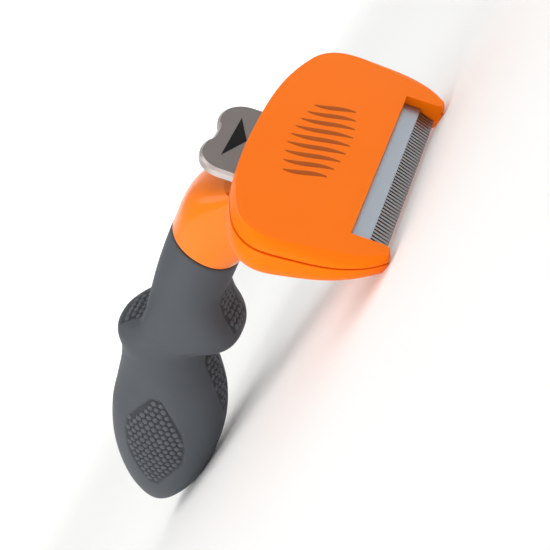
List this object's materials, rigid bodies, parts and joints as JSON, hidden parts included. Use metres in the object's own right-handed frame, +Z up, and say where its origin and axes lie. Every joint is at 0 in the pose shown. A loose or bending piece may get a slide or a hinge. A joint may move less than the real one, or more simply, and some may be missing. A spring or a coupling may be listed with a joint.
{
  "type": "deshedding tool",
  "caption": "Pet grooming rake with a toothed steel blade in a wide head, a sprung thumb slide that pushes hair off the teeth, and a rubber grip at right angles.",
  "frame": {"origin": "bottom centre of the bounding box, on the surface that the tool rests on, teeth down, on its two horn tips and the belly of the grip", "axes": "+X from the grip towards the flat front face, +Y along the blade, +Z up"},
  "size_m": [0.1702, 0.095, 0.0548],
  "materials": {
    "cover_plastic": "satin moulded ABS",
    "neck_plastic": "glossy moulded ABS",
    "plug_plastic": "plain moulded",
    "grip_rubber": "soft matte overmould",
    "blade_steel": "ground",
    "stiffener_steel": "zinc plated",
    "screw_steel": "zinc plated",
    "plate_steel": "satin stainless",
    "slide_plastic": "acetal",
    "rivet_metal": "plain",
    "button_metal": "satin gunmetal",
    "button_plastic": "moulded",
    "rod_steel": "polished",
    "spring_steel": "spring wire"
  },
  "bodies": {
    "root": {"front_cover": "cover_plastic", "rear_cover": "cover_plastic", "handle_core": "neck_plastic", "core_end_plug": "plug_plastic", "grip_sleeve": "grip_rubber", "blade": "blade_steel", "blade_stiffener_bar": "stiffener_steel", "blade_screws": "screw_steel", "guide_rod_left": "rod_steel", "guide_rod_right": "rod_steel", "return_spring_left": "spring_steel", "return_spring_right": "spring_steel", "cover_screws": "screw_steel", "handle_screws": "screw_steel"},
    "ejector": {"ejector_plate": "plate_steel", "ejector_carriage": "slide_plastic", "plate_rivets": "rivet_metal", "button_cap": "button_metal", "button_base": "button_plastic", "button_screws": "screw_steel"}
  },
  "joints": [
    {"name": "ejector_slide", "type": "slide", "parent": "root", "child": "ejector", "axis": [0.264, 0, -0.9645], "range_m": [0, 0.0075], "stiffness_N_per_m": 300, "springref_m": -0.01, "deforming": ["return_spring_left", "return_spring_right"]}
  ]
}
